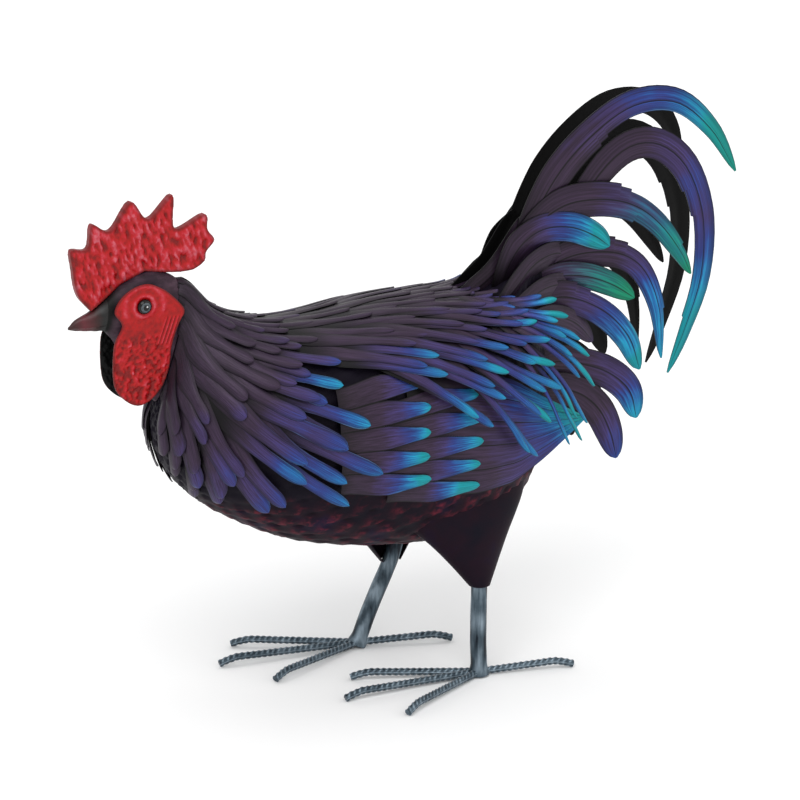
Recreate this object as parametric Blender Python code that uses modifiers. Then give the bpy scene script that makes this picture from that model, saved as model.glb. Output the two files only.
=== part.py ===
"""A life-size rooster made of cut and pressed sheet steel, standing on feet of ribbed bar.

Metres, +Z up. The rooster faces -X, its left side is at -Y, and the ground is z = 0.
The figure is drawn on a grid of GRID_TALL units from the ground to the top of the tail.
Sheet, bars, tubes and gaps are real sizes that don't follow the grid.
"""

import math

import bmesh
import bpy
from mathutils import Vector

# The figure's height, and the grid that its free form is drawn on.
FIGURE_HEIGHT = 0.586
GRID_TALL = 586
GRID = FIGURE_HEIGHT / GRID_TALL

# Stock that the rooster is welded up from.
FEATHER_SHEET = 0.0010
WING_SHEET = 0.0012
THIGH_SHEET = 0.0012
THIGH_CUFF_ROOM = 0.0012
COMB_THICKNESS = 0.009
COMB_WELD = 0.0005
WELD_OVERLAP_OF_TOE = 0.0020
FACE_THICKNESS = 0.0022
FACE_STANDOFF = 0.0018
LEG_DIAMETER = 0.017
TOE_BAR_DIAMETER = 0.008
EYE_DIAMETER = 0.0150
EYE_HEIGHT = 0.0048
GAP = 0.0003
MERGE_DISTANCE = 1e-5

# Curved sheets that lie on the skin or on each other stand this much further off.
FEATHER_SEAT = 0.0009
WING_LAYER = 0.0020

LEFT = -1
RIGHT = 1
SIDE_NAMES = {LEFT: "left", RIGHT: "right"}

# How finely the free forms are faceted.
BODY_SIDES = 18
HEAD_SIDES = 16
THIGH_SIDES = 12
THIGH_STEPS = 4
FEATHER_STEPS = 4
TAIL_FEATHER_STEPS = 9
FLIGHT_COLUMNS = 9
FLIGHT_ROWS = 5
COVERT_ROW_STEPS = 3
COMB_STEPS = 3
FACE_STEPS = 2
EYE_STEPS = 4
EYE_SIDES = 10
BAR_ROUNDNESS = 2
LEG_STEPS = 9
TOE_BEND_STEPS = 3

# The skin: rings from the collar behind the face to the stub that the tail grows from.
# Each ring is (lowest point x, z), (highest point x, z) and half width, on the grid.
SKIN = (
    ((-296, 324), (-261, 438), 15),
    ((-298, 296), (-241, 413), 31),
    ((-290, 264), (-209, 396), 53),
    ((-268, 231), (-171, 388), 72),
    ((-228, 199), (-116, 387), 87),
    ((-156, 163), (-59, 392), 95),
    ((-64, 143), (-1, 393), 96),
    ((26, 139), (52, 394), 90),
    ((91, 161), (90, 408), 72),
    ((131, 208), (112, 440), 38),
    ((148, 270), (132, 466), 17),
)

# The plumage: the same rings, widened at the sides so that the back feathers clear the wings.
PLUMAGE_HALF_WIDTHS = (15, 31, 53, 72, 88, 101, 107, 107, 102, 94, 84)
PLUMAGE_REAR = (((100, 161), (90, 408)), ((156, 173), (118, 440)), ((208, 194), (146, 466)))

# The head runs from the collar to the tip of the beak, in rings like the skin's.
HEAD = (
    ((-297, 325), (-262, 441), 14),
    ((-324, 360), (-283, 454), 15.5),
    ((-338, 389), (-306, 458), 15.5),
    ((-346, 400), (-332, 448), 13),
    ((-352, 404), (-350, 434), 10.5),
    ((-362, 405), (-363, 425), 8),
    ((-375, 407), (-376, 419), 4.5),
    ((-386, 409), (-386, 412), 1.2),
)

# The comb's spikes, as tip and the valley behind it, and the rest of its edge, on the grid.
COMB_SPIKES = (
    ((-382, 488), (-365, 488)),
    ((-360, 511), (-341, 503)),
    ((-319, 529), (-301, 510)),
    ((-275, 531), (-273, 497)),
    ((-241, 508), (-238, 492)),
    ((-231, 481), (-240, 470)),
)
COMB_HEEL = ((-242, 461), (-254, 454), (-268, 453))
COMB_FRONT = ((-367, 430), (-375, 440), (-379, 452), (-381, 469))
# The comb sits along the top of the head over these rings of it.
COMB_SEAT_RINGS = (1, 2, 3, 4, 5)

# The face plate: the patch round the eye, the ear lobe and the hanging wattle, on the grid.
FACE_EDGE = (
    (-345, 425), (-338, 439), (-324, 448), (-309, 450), (-294, 443), (-282, 433),
    (-271, 419), (-276, 408), (-281, 396), (-285, 382), (-287, 364), (-294, 345),
    (-307, 331), (-321, 327), (-335, 335), (-345, 349), (-347, 370), (-345, 394),
    (-337, 411),
)
FACE_EYE = (-314, 428)
FACE_INWARD_DEG = 3.0

# Rows of neck feathers: root ring, lift for each ring, how many tips, depth of the notches in
# rings, how far round the roots are as a share of the tips, and the ring where the tips end at
# each angle from the nape. A row that starts nearer the head lies over the one behind it.
HACKLE_ROWS = (
    ("neck_feathers_long", 1.7, 3.0, 20, 0.9, 0.92,
     ((0, 3.7), (30, 3.9), (50, 4.1), (76, 4.8), (92, 5.3), (104, 5.3), (118, 5.1), (135, 4.2),
      (150, 3.5), (172, 3.1))),
    ("neck_feathers_middle", 0.7, 4.4, 16, 0.8, 0.92,
     ((0, 2.9), (40, 3.3), (70, 4.0), (90, 4.6), (104, 4.5), (112, 4.1), (126, 3.4), (150, 2.7),
      (172, 2.4))),
    ("neck_feathers_collar", 0.12, 5.0, 12, 0.7, 0.92,
     ((0, 1.9), (40, 2.3), (67, 3.1), (93, 2.9), (135, 2.1), (172, 1.6))),
)
HACKLE_END_DEG = 172

# Rows of back feathers, in the same form, with the angle that each row reaches to.
BACK_ROWS = (
    ("saddle_feathers", 6.8, 1.0, 16, 0.75, 0.85, 100,
     ((0, 7.3), (22, 7.7), (40, 8.6), (60, 9.15), (95, 9.3), (112, 8.9))),
    ("back_feathers_rear", 5.5, 1.9, 14, 0.75, 0.85, 92,
     ((0, 7.2), (30, 7.8), (60, 8.3), (80, 8.3), (98, 7.8))),
    ("back_feathers_middle", 4.3, 2.8, 12, 0.75, 0.85, 80,
     ((0, 6.3), (30, 6.8), (60, 7.2), (84, 6.9))),
    ("back_feathers_front", 3.3, 2.8, 10, 0.6, 0.85, 68,
     ((0, 5.1), (30, 5.6), (50, 6.0), (68, 5.9))),
)
# How suddenly the feathers turn down the side on their way to the tip.
FEATHER_TURN = 1.4

# The wing lies on a long oval shell outside the skin: half width at x, on the grid. The shell
# stands this much above the middle of the skin's deepest ring and is this much taller on each side.
WING_SHELL = ((-130, 96), (-60, 100), (30, 100), (100, 91), (180, 79))
WING_SHELL_RAISED = 1.5
WING_SHELL_TALLER = 10.5
WING_LOWER_EDGE = (
    (-110, 245), (-70, 222), (-32, 213), (16, 208), (59, 213), (93, 233), (142, 265)
)
WING_UPPER_EDGE = (
    (-110, 324), (-70, 342), (-32, 346), (16, 338), (59, 320), (93, 298), (142, 270)
)
FLIGHT_FEATHERS_FROM_X = -66
# Each row of wing coverts: front edge, notches and tips as x on the grid, how many tips, and
# the lowest and highest z.
COVERT_ROWS = (
    ("wing_coverts_rear", -89, -31, 17, 5, 210, 328),
    ("wing_coverts_front", -104, -80, -42, 5, 228, 325),
)

# Tail feathers, innermost first: half width, distance from the middle of the bird, and rib line
# as points x, z. They spread outwards behind TAIL_SPREAD_FROM_X.
TAIL_FEATHERS = (
    ("sickle_low", 17, 14.0, (
        (100, 380), (143, 420), (186, 490), (225, 525), (264, 527),
        (299, 498), (319, 444), (318, 380), (299, 322), (282, 279),
    )),
    ("sickle_top", 18, 15.4, (
        (94, 392), (117, 456), (147, 506), (185, 543),
        (233, 570), (284, 569), (326, 536), (357, 489),
    )),
    ("sickle_inner", 17, 16.8, (
        (98, 383), (126, 405), (160, 419), (195, 421),
        (228, 413), (252, 391), (268, 351), (273, 297),
    )),
    ("sickle_middle", 19, 18.2, (
        (90, 403), (116, 449), (150, 473), (190, 477),
        (231, 468), (264, 445), (291, 411), (305, 385),
    )),
    ("covert_upper", 16, 20.0, (
        (78, 388), (92, 422), (108, 442), (132, 453), (162, 451), (187, 440), (207, 426),
    )),
    ("covert_middle", 14, 22.0, (
        (88, 365), (114, 389), (146, 401), (178, 398), (208, 386), (236, 368),
    )),
    ("covert_lower", 17, 29.0, (
        (86, 353), (118, 375), (150, 381), (192, 363), (224, 331), (240, 292),
    )),
    ("covert_hanging", 17, 36.0, (
        (93, 302), (127, 315), (160, 311), (196, 297), (222, 274), (233, 242),
    )),
    ("covert_last", 17, 41.0, (
        (94, 280), (127, 289), (160, 280), (183, 261), (197, 235), (207, 203),
    )),
)
# The right top sickle is bent a little tighter than the left one.
RIGHT_SICKLE_TOP = (
    (98, 390), (121, 453), (152, 504), (188, 539), (231, 562), (277, 559), (308, 530), (322, 482)
)
TAIL_SPREAD = 0.05
TAIL_SPREAD_FROM_X = 120
# A tail feather's outline, as shares of its widest: how wide its root is, how fast it widens,
# how wide its tip is cut, and how blunt the tip is.
VANE_ROOT = 0.55
VANE_WIDENING = 1.6
VANE_TIP_CUT = 0.985
VANE_BLUNTNESS = 0.62

# Each thigh is a sheet bent round the outside of the leg, from the belly down to a cuff: height,
# middle x and y, and half sizes of its rings, on the grid. It is open on the inside.
THIGH_RINGS = {
    LEFT: ((192, 11, 50, 80, 25), (148, 23, 60, 43, 20)),
    RIGHT: ((192, -13, 50, 78, 25), (139, -8, 60, 43, 20)),
}
THIGH_CUFF_Z = {LEFT: 100, RIGHT: 90}
THIGH_WRAP_FROM_DEG = -24
# Middle line of each leg, from the sole up into the body, on the grid.
LEG_LINES = {
    LEFT: ((32, 2, 67), (31, 52, 67), (31, 101, 68), (28, 145, 62), (25, 205, 50)),
    RIGHT: ((-41, 2, 67), (-21, 48, 67), (-1, 89, 67), (8, 135, 61), (12, 205, 50)),
}
# Toes of one foot: angle from straight ahead towards the rooster's left, and length on the grid.
TOES = {"inner": (-24, 133), "middle": (-2, 155), "outer": (26.5, 134), "back": (163, 101)}
FOOT_TURN = {LEFT: 2.5, RIGHT: -2.5}
ANKLE_HEIGHT = 0.0045
TOE_BEND_HEIGHT = 0.0088
TOE_TIP_HEIGHT = 0.0020
TOE_BEND_LENGTH = 0.022
TOE_BEND_CURVE = 1.6

# The cutter under the feet reaches this far each way and this deep.
GROUND_REACH = 1.0
GROUND_DEPTH = 0.1

PAINT = {
    "dark_feather_paint": ((0.06, 0.045, 0.09, 1), 0.38, 0.6),
    "blue_feather_paint": ((0.06, 0.11, 0.38, 1), 0.34, 0.6),
    "belly_paint": ((0.07, 0.03, 0.05, 1), 0.42, 0.5),
    "red_paint": ((0.55, 0.02, 0.03, 1), 0.45, 0.0),
    "silver_paint": ((0.32, 0.37, 0.42, 1), 0.42, 0.7),
    "eye_gloss": ((0.02, 0.02, 0.025, 1), 0.08, 0.0),
}


def clear_scene():
    for obj in list(bpy.data.objects):
        bpy.data.objects.remove(obj, do_unlink=True)


def make_collection(name):
    collection = bpy.data.collections.new(name)
    bpy.context.scene.collection.children.link(collection)
    return collection


def make_paint(name):
    colour, roughness, metallic = PAINT[name]
    paint = bpy.data.materials.new(name)
    paint.use_nodes = True
    shader = paint.node_tree.nodes["Principled BSDF"]
    shader.inputs["Base Color"].default_value = colour
    shader.inputs["Roughness"].default_value = roughness
    shader.inputs["Metallic"].default_value = metallic
    return paint


def smooth_through(rows, t):
    """The Catmull-Rom curve through rows of numbers, at t from 0 to len(rows) - 1."""
    last = len(rows) - 1
    t = min(max(t, 0.0), float(last))
    i = min(int(t), last - 1)
    f = t - i
    before = rows[i - 1] if i > 0 else [2 * a - b for a, b in zip(rows[0], rows[1])]
    after = rows[i + 2] if i + 2 <= last else [2 * a - b for a, b in zip(rows[last], rows[last - 1])]
    return [
        b + 0.5 * f * (c - a + f * (2 * a - 5 * b + 4 * c - d + f * (3 * (b - c) + d - a)))
        for a, b, c, d in zip(before, rows[i], rows[i + 1], after)
    ]


def straight_through(pairs, at):
    """Straight interpolation in a table of (key, value) pairs."""
    for (k0, v0), (k1, v1) in zip(pairs, pairs[1:]):
        if at <= k1:
            return v0 + (v1 - v0) * max(at - k0, 0.0) / (k1 - k0)
    return pairs[-1][1]


def signed_power(value, power):
    return math.copysign(abs(value) ** power, value)


class Rings:
    """A tube through oval rings. s counts rings, and the angle runs from the top down the side."""

    FULLNESS = 2 / 2.2

    def __init__(self, rings):
        self.rows = [(low[0], low[1], top[0], top[1], half) for low, top, half in rings]

    def on_ring(self, s, degrees):
        low_x, low_z, top_x, top_z, half = smooth_through(self.rows, s)
        angle = math.radians(degrees)
        up = signed_power(math.cos(angle), self.FULLNESS)
        out = signed_power(math.sin(angle), self.FULLNESS)
        x = (low_x + top_x) / 2 + up * (top_x - low_x) / 2
        z = (low_z + top_z) / 2 + up * (top_z - low_z) / 2
        return Vector((x, half * out, z)) * GRID

    def point(self, s, degrees, lift=0.0):
        """The point at ring s and angle, lifted off the tube's surface along its normal."""
        here = self.on_ring(s, degrees)
        along = self.on_ring(s + 0.05, degrees) - self.on_ring(s - 0.05, degrees)
        around = self.on_ring(s, degrees + 1) - self.on_ring(s, degrees - 1)
        normal = along.cross(around).normalized()
        return here + normal * lift


def plumage_rings():
    """The skin's rings with the plumage's half widths, and with its own rings at the rear."""
    kept = len(SKIN) - len(PLUMAGE_REAR)
    lines = [(low, top) for low, top, _ in SKIN[:kept]] + list(PLUMAGE_REAR)
    return [(low, top, half) for (low, top), half in zip(lines, PLUMAGE_HALF_WIDTHS)]


class Workshop:
    """Makes the nodes, their materials and their cutters."""

    def __init__(self):
        self.parts = make_collection("rooster_sculpture")
        self.cutters = make_collection("cutters")
        self.cutters.hide_render = True
        self.root = bpy.data.objects.new("rooster", None)
        self.parts.objects.link(self.root)
        self.paints = {name: make_paint(name) for name in PAINT}

    def add(self, name, data, paint):
        obj = bpy.data.objects.new(name, data)
        data.materials.append(self.paints[paint])
        self.parts.objects.link(obj)
        obj.parent = self.root
        return obj

    def add_cutter(self, name, mesh):
        obj = bpy.data.objects.new(name, mesh)
        self.cutters.objects.link(obj)
        obj.hide_render = True
        obj.display_type = "WIRE"
        obj.parent = self.root
        return obj

    def cut(self, obj, cutter):
        modifier = obj.modifiers.new(f"clear_{cutter.name}", "BOOLEAN")
        modifier.operation = "DIFFERENCE"
        modifier.solver = "EXACT"
        modifier.object = cutter

    def mesh_from_curve(self, obj):
        """The same object as a closed mesh, so that it can be cut."""
        bpy.context.view_layer.update()
        graph = bpy.context.evaluated_depsgraph_get()
        mesh = bpy.data.meshes.new_from_object(obj.evaluated_get(graph))
        form = bmesh.new()
        form.from_mesh(mesh)
        bmesh.ops.remove_doubles(form, verts=form.verts, dist=MERGE_DISTANCE)
        bmesh.ops.recalc_face_normals(form, faces=form.faces)
        form.to_mesh(mesh)
        form.free()
        name, place = obj.name, obj.matrix_world.copy()
        old = obj.data
        bpy.data.objects.remove(obj)
        bpy.data.curves.remove(old)
        made = bpy.data.objects.new(name, mesh)
        self.parts.objects.link(made)
        made.parent = self.root
        made.matrix_world = place
        return made


def shade(mesh, degrees=40):
    mesh.shade_smooth()
    mesh.set_sharp_from_angle(angle=math.radians(degrees))


def tube_mesh(name, loops):
    """A mesh lofted through loops of points, with a cap on each end."""
    form = bmesh.new()
    rings = [[form.verts.new(point) for point in loop] for loop in loops]
    count = len(rings[0])
    for near, far in zip(rings, rings[1:]):
        for i in range(count):
            j = (i + 1) % count
            form.faces.new((near[i], near[j], far[j], far[i]))
    form.faces.new(rings[0])
    form.faces.new(rings[-1])
    bmesh.ops.recalc_face_normals(form, faces=form.faces)
    bmesh.ops.triangulate(form, faces=form.faces, quad_method="FIXED")
    mesh = bpy.data.meshes.new(name)
    form.to_mesh(mesh)
    form.free()
    shade(mesh)
    return mesh


def ring_loops(rings, stations, segments, lift=0.0):
    step = 360 / segments
    return [[rings.point(s, i * step, lift) for i in range(segments)] for s in stations]


def sheet_mesh(name, columns, rows, place):
    """An open sheet: place(u, v) gives the point at u across and v along, both from 0 to 1."""
    form = bmesh.new()
    bmesh.ops.create_grid(form, x_segments=columns, y_segments=rows, size=0.5)
    for vertex in form.verts:
        vertex.co = place(vertex.co.x + 0.5, vertex.co.y + 0.5)
    mesh = bpy.data.meshes.new(name)
    form.to_mesh(mesh)
    form.free()
    return mesh


def thicken(obj, thickness):
    solid = obj.modifiers.new("sheet", "SOLIDIFY")
    solid.thickness = thickness
    solid.offset = 0.0
    solid.use_even_offset = False


def tip_share(u, tips):
    """How far u across a row of tips falls short of the row's line: 0 at a tip, 1 in a notch."""
    return abs(2 * (u * tips % 1.0) - 1)


def feather_row(shop, name, rings, root, lift, tips, notch, root_share, reach, ends, paint):
    """A row of feathers round the body: root is its first ring and ends says where it ends."""

    def place(u, v):
        tip_degrees = (2 * u - 1) * reach
        full_end = straight_through(ends, abs(tip_degrees))
        end = full_end - notch * tip_share(u, tips)
        s = root + (end - root) * v
        turned = max((s - root) / (full_end - root), 0.0) ** FEATHER_TURN
        degrees = tip_degrees * (root_share + (1 - root_share) * turned)
        seat = FEATHER_SEAT + FEATHER_SHEET / 2
        return rings.point(s, degrees, seat + lift * GRID * (s - root))

    mesh = sheet_mesh(name, 2 * tips, FEATHER_STEPS, place)
    thicken(shop.add(name, mesh, paint), FEATHER_SHEET)


def make_body(shop):
    stations = [i / 2 for i in range(2 * len(SKIN) - 1)]
    mesh = tube_mesh("body", ring_loops(shop.skin, stations, BODY_SIDES))
    shop.add("body", mesh, "belly_paint")
    loops = ring_loops(shop.skin, stations, BODY_SIDES, GAP)
    loops[0] = [point - Vector((GAP, 0, 0)) for point in loops[0]]
    loops[-1] = [point + Vector((GAP, 0, 0)) for point in loops[-1]]
    cutter = tube_mesh("body_clearance", loops)
    shop.body_cutter = shop.add_cutter("body_clearance", cutter)


def make_head(shop):
    head = Rings(HEAD)
    loops = ring_loops(head, range(len(HEAD)), HEAD_SIDES)
    collar = Vector((-2 * GAP, 0, 0))
    loops[0] = [point + collar for point in loops[0]]
    shop.add("head", tube_mesh("head", loops), "dark_feather_paint")
    return head


def flat_outline(name, points, thickness):
    """A plate of that outline in the XZ plane, its thickness shared to both sides."""
    curve = bpy.data.curves.new(name, "CURVE")
    curve.dimensions = "2D"
    curve.fill_mode = "BOTH"
    curve.extrude = thickness / 2
    line = curve.splines.new("POLY")
    line.points.add(len(points) - 1)
    for point, (x, z) in zip(line.points, points):
        point.co = (x, z, 0, 1)
    line.use_cyclic_u = True
    return curve


def rounded(points, per_span):
    """A closed Catmull-Rom curve through the points, per_span steps for each."""
    count = len(points)
    wrapped = [points[i % count] for i in range(-1, count + 2)]
    return [
        smooth_through(wrapped, 1 + i + k / per_span) for i in range(count) for k in range(per_span)
    ]


def make_comb(shop, head):
    edge = [(x * GRID, z * GRID) for x, z in COMB_FRONT]
    for tip, valley in COMB_SPIKES:
        edge += [(tip[0] * GRID, tip[1] * GRID), (valley[0] * GRID, valley[1] * GRID)]
    edge += [(x * GRID, z * GRID) for x, z in COMB_HEEL]
    spans = len(edge) - 1
    curved = [smooth_through(edge, i / COMB_STEPS) for i in range(COMB_STEPS * spans + 1)]
    crown = [head.on_ring(ring, 0) for ring in COMB_SEAT_RINGS]
    seat = [(point.x, point.z + COMB_WELD) for point in crown]
    outline = curved + seat
    comb = shop.add("comb", flat_outline("comb", outline, COMB_THICKNESS), "red_paint")
    comb.rotation_euler.x = math.radians(90)


def make_face(shop, side):
    """One face plate with its wattle, leaning inwards below, and the eye on it."""
    head_half = max(half for _, _, half in HEAD) * GRID
    eye_x, eye_z = FACE_EYE[0] * GRID, FACE_EYE[1] * GRID
    outline = rounded([(x * GRID - eye_x, z * GRID - eye_z) for x, z in FACE_EDGE], FACE_STEPS)
    name = SIDE_NAMES[side]
    face = shop.add(f"face_{name}", flat_outline("face", outline, FACE_THICKNESS), "red_paint")
    lean = math.radians(FACE_INWARD_DEG)
    face.rotation_euler.x = math.radians(90) - side * lean
    out = head_half + FACE_STANDOFF + FACE_THICKNESS / 2
    face.location = (eye_x, side * out, eye_z)
    make_eye(shop, side, face, lean)


def make_eye(shop, side, face, lean):
    """A bead on the face plate: half an oval, turned about its middle."""
    name = SIDE_NAMES[side]
    profile = []
    for i in range(EYE_STEPS):
        angle = math.pi / 2 * i / EYE_STEPS
        profile.append((EYE_DIAMETER / 2 * math.sin(angle), EYE_HEIGHT * math.cos(angle)))
    profile += [(EYE_DIAMETER / 2, 0.0), (0.0, 0.0)]
    form = bmesh.new()
    points = [form.verts.new((x, 0, z)) for x, z in profile]
    for a, b in zip(points, points[1:]):
        form.edges.new((a, b))
    mesh = bpy.data.meshes.new("eye")
    form.to_mesh(mesh)
    form.free()
    eye = shop.add(f"eye_{name}", mesh, "eye_gloss")
    turned = eye.modifiers.new("turned", "SCREW")
    turned.steps = turned.render_steps = EYE_SIDES
    turned.use_merge_vertices = True
    turned.merge_threshold = MERGE_DISTANCE
    turned.use_normal_calculate = True
    turned.use_normal_flip = True
    eye.rotation_euler.x = math.radians(90) - side * lean + (math.pi if side == RIGHT else 0)
    outward = Vector((0, side * math.cos(lean), -math.sin(lean)))
    eye.location = face.location + outward * (FACE_THICKNESS / 2 + GAP)


def make_feather_rows(shop):
    for name, *shape, ends in HACKLE_ROWS:
        feather_row(shop, name, shop.skin, *shape, HACKLE_END_DEG, ends, "dark_feather_paint")
    for name, *shape, reach, ends in BACK_ROWS:
        feather_row(shop, name, shop.plumage, *shape, reach, ends, "blue_feather_paint")


def wing_shell(x, z):
    """A point of the right wing's shell over x and z on the grid."""
    low, top, _ = max(SKIN, key=lambda ring: ring[1][1] - ring[0][1])
    middle_z = (low[1] + top[1]) / 2 + WING_SHELL_RAISED
    half_height = (top[1] - low[1]) / 2 + WING_SHELL_TALLER
    fall = math.sqrt(max(1 - ((z - middle_z) / half_height) ** 2, 0.0))
    return Vector((x, straight_through(WING_SHELL, x) * fall, z)) * GRID


def wing_point(side, x, z, lift):
    """A point of the wing's shell, lifted off it along its normal."""
    along = wing_shell(x + 1, z) - wing_shell(x - 1, z)
    upwards = wing_shell(x, z + 1) - wing_shell(x, z - 1)
    place = wing_shell(x, z) + upwards.cross(along).normalized() * lift
    place.y *= side
    return place


def make_wing(shop, side):
    name = SIDE_NAMES[side]
    first_x, last_x = FLIGHT_FEATHERS_FROM_X, WING_LOWER_EDGE[-1][0]

    def flight(u, v):
        x = first_x + (last_x - first_x) * v
        low = straight_through(WING_LOWER_EDGE, x)
        high = straight_through(WING_UPPER_EDGE, x)
        return wing_point(side, x, low + (high - low) * u, 0.0)

    sheet = sheet_mesh("flight_feathers", FLIGHT_COLUMNS, FLIGHT_ROWS, flight)
    thicken(shop.add(f"flight_feathers_{name}", sheet, "blue_feather_paint"), WING_SHEET)
    for layer, row in enumerate(COVERT_ROWS):
        make_coverts(shop, side, (layer + 1) * WING_LAYER, *row)


def make_coverts(shop, side, lift, name, front_x, notch_x, tip_x, tips, low_z, high_z):
    """A row of short feathers over the wing, from its front edge back to its tips."""

    def covert(u, v):
        end = tip_x - (tip_x - notch_x) * tip_share(u, tips)
        x = front_x + (end - front_x) * v
        return wing_point(side, x, low_z + (high_z - low_z) * u, lift)

    sheet = sheet_mesh(name, 2 * tips, COVERT_ROW_STEPS, covert)
    thicken(shop.add(f"{name}_{SIDE_NAMES[side]}", sheet, "blue_feather_paint"), WING_SHEET)


def feather_width(t):
    """A tail feather's half width at t along it, as a share of its widest."""
    return min(1.0, VANE_ROOT + VANE_WIDENING * t) * (1 - VANE_TIP_CUT * t**4) ** VANE_BLUNTNESS


def make_tail_feather(shop, name, line, half, out, side):
    last = len(line) - 1

    def place(u, v):
        x, z = smooth_through(line, v * last)
        x0, z0 = smooth_through(line, v * last - 0.05)
        x1, z1 = smooth_through(line, v * last + 0.05)
        length = math.hypot(x1 - x0, z1 - z0)
        across = (2 * u - 1) * half * feather_width(v)
        x += -(z1 - z0) / length * across
        z += (x1 - x0) / length * across
        y = out + TAIL_SPREAD * (x - TAIL_SPREAD_FROM_X)
        return Vector((x, side * y, z)) * GRID

    sheet = sheet_mesh(name, 2, TAIL_FEATHER_STEPS, place)
    obj = shop.add(f"{name}_{SIDE_NAMES[side]}", sheet, "blue_feather_paint")
    thicken(obj, FEATHER_SHEET)
    shop.cut(obj, shop.body_cutter)


def leg_at_height(side, z):
    """The leg's middle x and y at a height, all on the grid."""
    line = LEG_LINES[side]
    x = straight_through([(height, x) for x, height, _ in line], z)
    y = straight_through([(height, y) for _, height, y in line], z)
    return x, y


def make_thigh(shop, side):
    """A sheet that wraps the outside of the leg below and meets the belly above."""
    cuff = (LEG_DIAMETER / 2 + THIGH_CUFF_ROOM + THIGH_SHEET / 2) / GRID
    cuff_z = THIGH_CUFF_Z[side]
    leg_x, leg_y = leg_at_height(side, cuff_z)
    rings = [*THIGH_RINGS[side], (cuff_z, leg_x, leg_y, cuff, cuff)]

    def place(u, v):
        z, x, y, half_x, half_y = smooth_through(rings, v * (len(rings) - 1))
        angle = math.radians(THIGH_WRAP_FROM_DEG + (180 - 2 * THIGH_WRAP_FROM_DEG) * u)
        out = y + half_y * math.sin(angle)
        return Vector((x + half_x * math.cos(angle), side * out, z)) * GRID

    sheet = sheet_mesh("thigh", THIGH_SIDES, THIGH_STEPS, place)
    obj = shop.add(f"thigh_{SIDE_NAMES[side]}", sheet, "belly_paint")
    thicken(obj, THIGH_SHEET)
    shop.cut(obj, shop.body_cutter)


def round_bar(shop, name, points, diameter, paint):
    curve = bpy.data.curves.new(name, "CURVE")
    curve.dimensions = "3D"
    curve.bevel_depth = diameter / 2
    curve.bevel_resolution = BAR_ROUNDNESS
    curve.use_fill_caps = True
    line = curve.splines.new("POLY")
    line.points.add(len(points) - 1)
    for point, place in zip(line.points, points):
        point.co = (*place, 1)
    return shop.mesh_from_curve(shop.add(name, curve, paint))


def leg_points(side, count):
    line = LEG_LINES[side]
    rows = [smooth_through(line, i * (len(line) - 1) / (count - 1)) for i in range(count)]
    return [Vector((x, side * y, z)) * GRID for x, z, y in rows]


def make_leg(shop, side):
    name = SIDE_NAMES[side]
    points = leg_points(side, LEG_STEPS)
    leg = round_bar(shop, f"leg_{name}", points, LEG_DIAMETER, "silver_paint")
    shop.cut(leg, shop.body_cutter)
    shop.cut(leg, shop.ground_cutter)


def toe_points(ankle, degrees, length):
    """Middle line of a toe: it rises slowly from the ankle and bends down to the ground."""
    angle = math.radians(degrees)
    ahead = Vector((-math.cos(angle), -math.sin(angle), 0))
    start = LEG_DIAMETER / 2 + GAP - WELD_OVERLAP_OF_TOE
    straight = length * GRID - TOE_BEND_LENGTH
    points = []
    for share in (start / straight, 0.5, 1.0):
        rise = (TOE_BEND_HEIGHT - ankle.z) * share
        points.append(ankle + ahead * straight * share + Vector((0, 0, rise)))
    for i in range(1, TOE_BEND_STEPS + 1):
        share = i / TOE_BEND_STEPS
        drop = (TOE_TIP_HEIGHT - TOE_BEND_HEIGHT) * share**TOE_BEND_CURVE
        points.append(points[2] + ahead * TOE_BEND_LENGTH * share + Vector((0, 0, drop)))
    return points


def bar_cutter(shop, name, points, diameter):
    bar = round_bar(shop, name, points, diameter, "silver_paint")
    mesh = bar.data
    bpy.data.objects.remove(bar)
    return shop.add_cutter(name, mesh)


def make_foot(shop, side):
    """Four toes of ribbed bar welded to the leg, each ground flat where its tip stands."""
    name = SIDE_NAMES[side]
    leg_line = leg_points(side, LEG_STEPS)
    down = (leg_line[0] - leg_line[1]).normalized()
    below = [leg_line[0] + down * TOE_BAR_DIAMETER, *leg_line[:3]]
    leg_cutter = bar_cutter(shop, f"leg_clearance_{name}", below, LEG_DIAMETER + 2 * GAP)
    leg_x, leg_y = leg_at_height(side, ANKLE_HEIGHT / GRID)
    ankle = Vector((leg_x * GRID, side * leg_y * GRID, ANKLE_HEIGHT))
    turn = FOOT_TURN[side]
    middle = toe_points(ankle, TOES["middle"][0] + turn, TOES["middle"][1])
    toe_cutter = bar_cutter(shop, f"toe_clearance_{name}", middle, TOE_BAR_DIAMETER + 2 * GAP)
    for toe, (degrees, length) in TOES.items():
        points = toe_points(ankle, degrees + turn, length)
        obj = round_bar(shop, f"toe_{toe}_{name}", points, TOE_BAR_DIAMETER, "silver_paint")
        shop.cut(obj, leg_cutter)
        if toe in ("inner", "outer"):
            shop.cut(obj, toe_cutter)
        shop.cut(obj, shop.ground_cutter)


def make_ground_cutter(shop):
    form = bmesh.new()
    bmesh.ops.create_cube(form, size=1.0)
    for vertex in form.verts:
        x, y, z = vertex.co
        vertex.co = (x * 2 * GROUND_REACH, y * 2 * GROUND_REACH, (z - 0.5) * GROUND_DEPTH)
    mesh = bpy.data.meshes.new("ground")
    form.to_mesh(mesh)
    form.free()
    shop.ground_cutter = shop.add_cutter("ground", mesh)


def centre_on_origin(shop):
    """Moves the whole rooster so that the middle of its footprint's box is the origin."""
    bpy.context.view_layer.update()
    graph = bpy.context.evaluated_depsgraph_get()
    corners = [
        part.evaluated_get(graph).matrix_world @ Vector(corner)
        for part in shop.parts.objects
        if part.type == "MESH"
        for corner in part.evaluated_get(graph).bound_box
    ]
    x = (min(c.x for c in corners) + max(c.x for c in corners)) / 2
    y = (min(c.y for c in corners) + max(c.y for c in corners)) / 2
    shop.root.location = (-x, -y, 0)


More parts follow.
